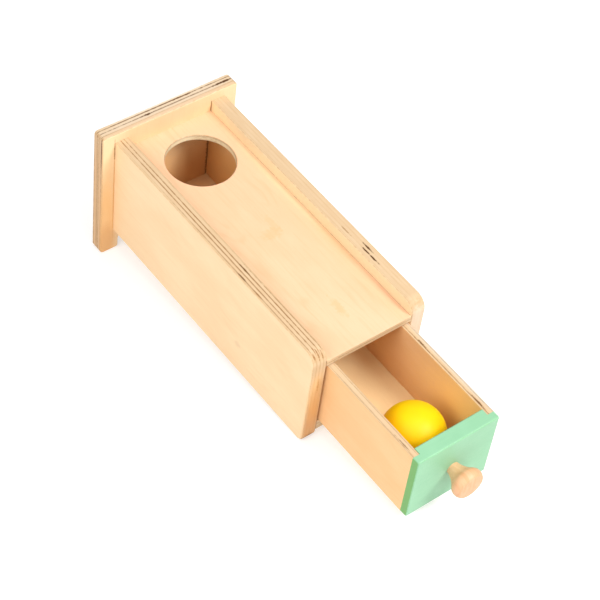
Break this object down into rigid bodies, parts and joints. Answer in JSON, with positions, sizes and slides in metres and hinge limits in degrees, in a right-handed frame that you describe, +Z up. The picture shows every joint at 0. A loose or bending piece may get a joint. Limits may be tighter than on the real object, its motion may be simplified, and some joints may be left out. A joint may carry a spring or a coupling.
{
  "type": "object permanence box",
  "caption": "Leaning wooden box with a round ball hole near its tall back plate, a full-length drawer with a mint front and turned knob, and a yellow ball in the drawer.",
  "frame": {"origin": "on the table under the middle of the toy's bounding box, with the drawer drawn out as pictured", "axes": "+Z up from the table, +Y from the drawer's front towards the back plate, +X to the right of somebody who faces the drawer's front; the box itself leans down towards -Y by about 5.1 degrees"},
  "size_m": [0.12, 0.3735, 0.1224],
  "materials": {
    "box_plywood": "birch plywood, clear satin lacquer, layers showing on the edges",
    "drawer_plywood": "thin birch plywood, clear satin lacquer",
    "mint_paint": "plywood with satin mint green paint",
    "turned_wood": "turned light hardwood, clear satin lacquer",
    "dowel_wood": "bare beech dowel",
    "yellow_paint": "wooden ball with smooth yellow lacquer",
    "screw_steel": "plain steel countersunk screw"
  },
  "bodies": {
    "box": {"left_side_panel": "box_plywood", "right_side_panel": "box_plywood", "top_panel": "box_plywood", "bottom_panel": "box_plywood", "back_plate": "box_plywood", "back_plate_dowels": "dowel_wood", "bottom_panel_dowels": "dowel_wood"},
    "drawer": {"drawer_front": "mint_paint", "drawer_left_side": "drawer_plywood", "drawer_right_side": "drawer_plywood", "drawer_back": "drawer_plywood", "drawer_floor": "drawer_plywood", "drawer_knob": "turned_wood", "knob_screw": "screw_steel"},
    "ball": {"ball": "yellow_paint"}
  },
  "joints": [
    {"name": "drawer_slide", "type": "slide", "parent": "box", "child": "drawer", "axis": [0, -0.996, -0.0889], "range_m": [-0.0967, 0.07]},
    {"name": "ball_roll", "type": "slide", "parent": "drawer", "child": "ball", "axis": [0, 0.996, 0.0889], "range_m": [0, 0.1724]}
  ]
}
